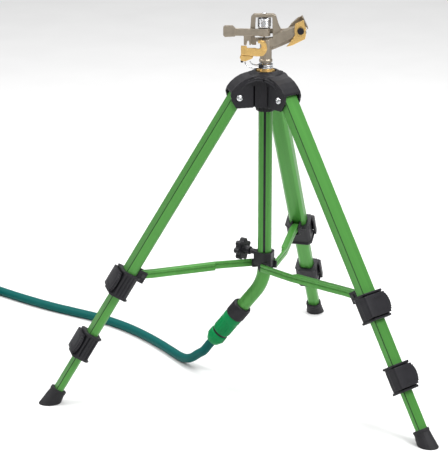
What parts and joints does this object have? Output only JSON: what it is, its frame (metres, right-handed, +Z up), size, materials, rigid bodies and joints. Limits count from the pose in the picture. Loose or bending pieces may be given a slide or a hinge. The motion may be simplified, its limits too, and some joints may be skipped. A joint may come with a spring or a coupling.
{
  "type": "tripod impact sprinkler",
  "caption": "Impact sprinkler head on a folding, telescoping tripod with a central water tube, clamp collar, push-fit hose connector and a short leader hose.",
  "frame": {"origin": "on the ground, under the middle of the tripod and head (the hose left out)", "axes": "+Z up; the rear leg points along +Y; +X runs across the two front feet"},
  "size_m": [1.2555, 0.6394, 0.6973],
  "materials": {
    "anodised_green": "anodised, satin",
    "black_plastic": "moulded, satin",
    "foot_rubber": "matt",
    "connector_green": "moulded, semi-gloss",
    "hose_teal": "smooth, semi-gloss",
    "zinc": "cast, satin",
    "brass": "cast, satin",
    "steel": "bright"
  },
  "bodies": {
    "hub": {"hub_body": "black_plastic", "tube_gland": "black_plastic", "pivot_bolt_back": "steel", "pivot_bolt_left": "steel", "pivot_bolt_right": "steel", "water_tube": "anodised_green", "adapter_nut": "black_plastic", "connector_sleeve": "connector_green", "connector_ring": "black_plastic", "connector_nut": "connector_green", "base_nut": "brass", "bearing_tube": "brass", "bearing_spring": "steel", "hose_run": "hose_teal", "hose_coil": "hose_teal", "hose_end": "connector_green"},
    "collar": {"slider_collar": "black_plastic"},
    "knob": {"star_knob": "black_plastic"},
    "lower_friction_ring": {"lower_friction_collar": "steel"},
    "upper_friction_ring": {"upper_friction_collar": "steel"},
    "head": {"head_body": "zinc", "fulcrum_pin": "steel", "arm_spring": "steel", "nozzle": "brass", "trip_pin": "brass"},
    "arm": {"drive_arm": "zinc"},
    "deflector": {"deflector": "brass", "deflector_screw": "black_plastic"},
    "trip": {"trip_lever": "brass", "trip_finger": "brass"},
    "leg_back": {"upper_leg_back": "anodised_green", "upper_clamp_back": "black_plastic", "strut_pin_back": "steel"},
    "middle_back": {"middle_leg_back": "anodised_green", "lower_clamp_back": "black_plastic"},
    "lower_back": {"lower_leg_back": "anodised_green", "foot_back": "foot_rubber"},
    "upper_lever_back": {"upper_lever_back": "black_plastic"},
    "lower_lever_back": {"lower_lever_back": "black_plastic"},
    "strut_back": {"strut_back": "anodised_green"},
    "leg_left": {"upper_leg_left": "anodised_green", "upper_clamp_left": "black_plastic", "strut_pin_left": "steel"},
    "middle_left": {"middle_leg_left": "anodised_green", "lower_clamp_left": "black_plastic"},
    "lower_left": {"lower_leg_left": "anodised_green", "foot_left": "foot_rubber"},
    "upper_lever_left": {"upper_lever_left": "black_plastic"},
    "lower_lever_left": {"lower_lever_left": "black_plastic"},
    "strut_left": {"strut_left": "anodised_green"},
    "leg_right": {"upper_leg_right": "anodised_green", "upper_clamp_right": "black_plastic", "strut_pin_right": "steel"},
    "middle_right": {"middle_leg_right": "anodised_green", "lower_clamp_right": "black_plastic"},
    "lower_right": {"lower_leg_right": "anodised_green", "foot_right": "foot_rubber"},
    "upper_lever_right": {"upper_lever_right": "black_plastic"},
    "lower_lever_right": {"lower_lever_right": "black_plastic"},
    "strut_right": {"strut_right": "anodised_green"}
  },
  "joints": [
    {"name": "leg_fold_back", "type": "hinge", "parent": "hub", "child": "leg_back", "pos_m": [0, -0.04867, 0.551], "axis": [-1, 0, 0], "range_deg": [0, 28]},
    {"name": "middle_slide_back", "type": "slide", "parent": "leg_back", "child": "middle_back", "axis": [0, 0.5318, -0.8468], "range_m": [-0.075, 0.18]},
    {"name": "lower_slide_back", "type": "slide", "parent": "middle_back", "child": "lower_back", "axis": [0, 0.5318, -0.8468], "range_m": [-0.045, 0.18]},
    {"name": "upper_lever_back", "type": "hinge", "parent": "leg_back", "child": "upper_lever_back", "pos_m": [-0.02575, 0.17824, 0.22825], "axis": [0, -0.5318, 0.8468], "range_deg": [0, 95]},
    {"name": "lower_lever_back", "type": "hinge", "parent": "middle_back", "child": "lower_lever_back", "pos_m": [-0.023, 0.24696, 0.11553], "axis": [0, -0.5318, 0.8468], "range_deg": [0, 95]},
    {"name": "strut_swing_back", "type": "hinge", "parent": "leg_back", "child": "strut_back", "pos_m": [0, 0.12629, 0.23105], "axis": [-1, 0, 0], "range_deg": [0, 50.64]},
    {"name": "leg_fold_left", "type": "hinge", "parent": "hub", "child": "leg_left", "pos_m": [-0.04555, -0.12757, 0.551], "axis": [0.5, -0.866, 0], "range_deg": [0, 28]},
    {"name": "middle_slide_left", "type": "slide", "parent": "leg_left", "child": "middle_left", "axis": [-0.4606, -0.2659, -0.8468], "range_m": [-0.075, 0.18]},
    {"name": "lower_slide_left", "type": "slide", "parent": "middle_left", "child": "lower_left", "axis": [-0.4606, -0.2659, -0.8468], "range_m": [-0.045, 0.18]},
    {"name": "upper_lever_left", "type": "hinge", "parent": "leg_left", "child": "upper_lever_left", "pos_m": [-0.22918, -0.26332, 0.22825], "axis": [0.4606, 0.2659, 0.8468], "range_deg": [0, 95]},
    {"name": "lower_lever_left", "type": "hinge", "parent": "middle_left", "child": "lower_lever_left", "pos_m": [-0.29007, -0.2953, 0.11553], "axis": [0.4606, 0.2659, 0.8468], "range_deg": [0, 95]},
    {"name": "strut_swing_left", "type": "hinge", "parent": "leg_left", "child": "strut_left", "pos_m": [-0.19707, -0.21505, 0.23105], "axis": [0.5, -0.866, 0], "range_deg": [0, 50.64]},
    {"name": "leg_fold_right", "type": "hinge", "parent": "hub", "child": "leg_right", "pos_m": [0.04555, -0.12757, 0.551], "axis": [0.5, 0.866, 0], "range_deg": [0, 28]},
    {"name": "middle_slide_right", "type": "slide", "parent": "leg_right", "child": "middle_right", "axis": [0.4606, -0.2659, -0.8468], "range_m": [-0.075, 0.18]},
    {"name": "lower_slide_right", "type": "slide", "parent": "middle_right", "child": "lower_right", "axis": [0.4606, -0.2659, -0.8468], "range_m": [-0.045, 0.18]},
    {"name": "upper_lever_right", "type": "hinge", "parent": "leg_right", "child": "upper_lever_right", "pos_m": [0.25493, -0.21872, 0.22825], "axis": [-0.4606, 0.2659, 0.8468], "range_deg": [0, 95]},
    {"name": "lower_lever_right", "type": "hinge", "parent": "middle_right", "child": "lower_lever_right", "pos_m": [0.31307, -0.25547, 0.11553], "axis": [-0.4606, 0.2659, 0.8468], "range_deg": [0, 95]},
    {"name": "strut_swing_right", "type": "hinge", "parent": "leg_right", "child": "strut_right", "pos_m": [0.19707, -0.21505, 0.23105], "axis": [0.5, 0.866, 0], "range_deg": [0, 50.64]},
    {"name": "collar_slide", "type": "slide", "parent": "hub", "child": "collar", "axis": [0, 0, 1], "range_m": [0, 0.16372]},
    {"name": "knob_turn", "type": "hinge", "parent": "collar", "child": "knob", "pos_m": [0, -0.10127, 0.252], "axis": [-0.9397, 0.342, 0], "range_deg": [0, 360]},
    {"name": "head_swivel", "type": "hinge", "parent": "hub", "child": "head", "pos_m": [0, -0.10127, 0.6], "axis": [0, 0, 1], "continuous": true},
    {"name": "arm_swing", "type": "hinge", "parent": "head", "child": "arm", "pos_m": [-0.00288, -0.1021, 0.66], "axis": [0, 0, 1], "range_deg": [0, 50], "stiffness_Nm_per_rad": 0.02},
    {"name": "trip_flip", "type": "hinge", "parent": "head", "child": "trip", "pos_m": [0.00105, -0.11762, 0.636], "axis": [-0.2756, 0.9613, 0], "range_deg": [0, 15]},
    {"name": "deflector_tilt", "type": "hinge", "parent": "head", "child": "deflector", "pos_m": [0.06091, -0.09421, 0.6665], "axis": [-0.2756, 0.9613, 0], "range_deg": [0, 12]},
    {"name": "lower_stop_turn", "type": "hinge", "parent": "hub", "child": "lower_friction_ring", "pos_m": [0, -0.10127, 0.6], "axis": [0, 0, 1], "range_deg": [-150, 20]},
    {"name": "upper_stop_turn", "type": "hinge", "parent": "hub", "child": "upper_friction_ring", "pos_m": [0, -0.10127, 0.604], "axis": [0, 0, 1], "range_deg": [-20, 150]}
  ],
  "couplings": [
    {"joint": "strut_swing_back", "follows": "leg_fold_back", "ratio": 1.8085},
    {"joint": "leg_fold_left", "follows": "leg_fold_back", "ratio": 1},
    {"joint": "strut_swing_left", "follows": "leg_fold_back", "ratio": 1.8085},
    {"joint": "leg_fold_right", "follows": "leg_fold_back", "ratio": 1},
    {"joint": "strut_swing_right", "follows": "leg_fold_back", "ratio": 1.8085},
    {"joint": "collar_slide", "follows": "leg_fold_back", "m_per_rad": 0.33499}
  ]
}
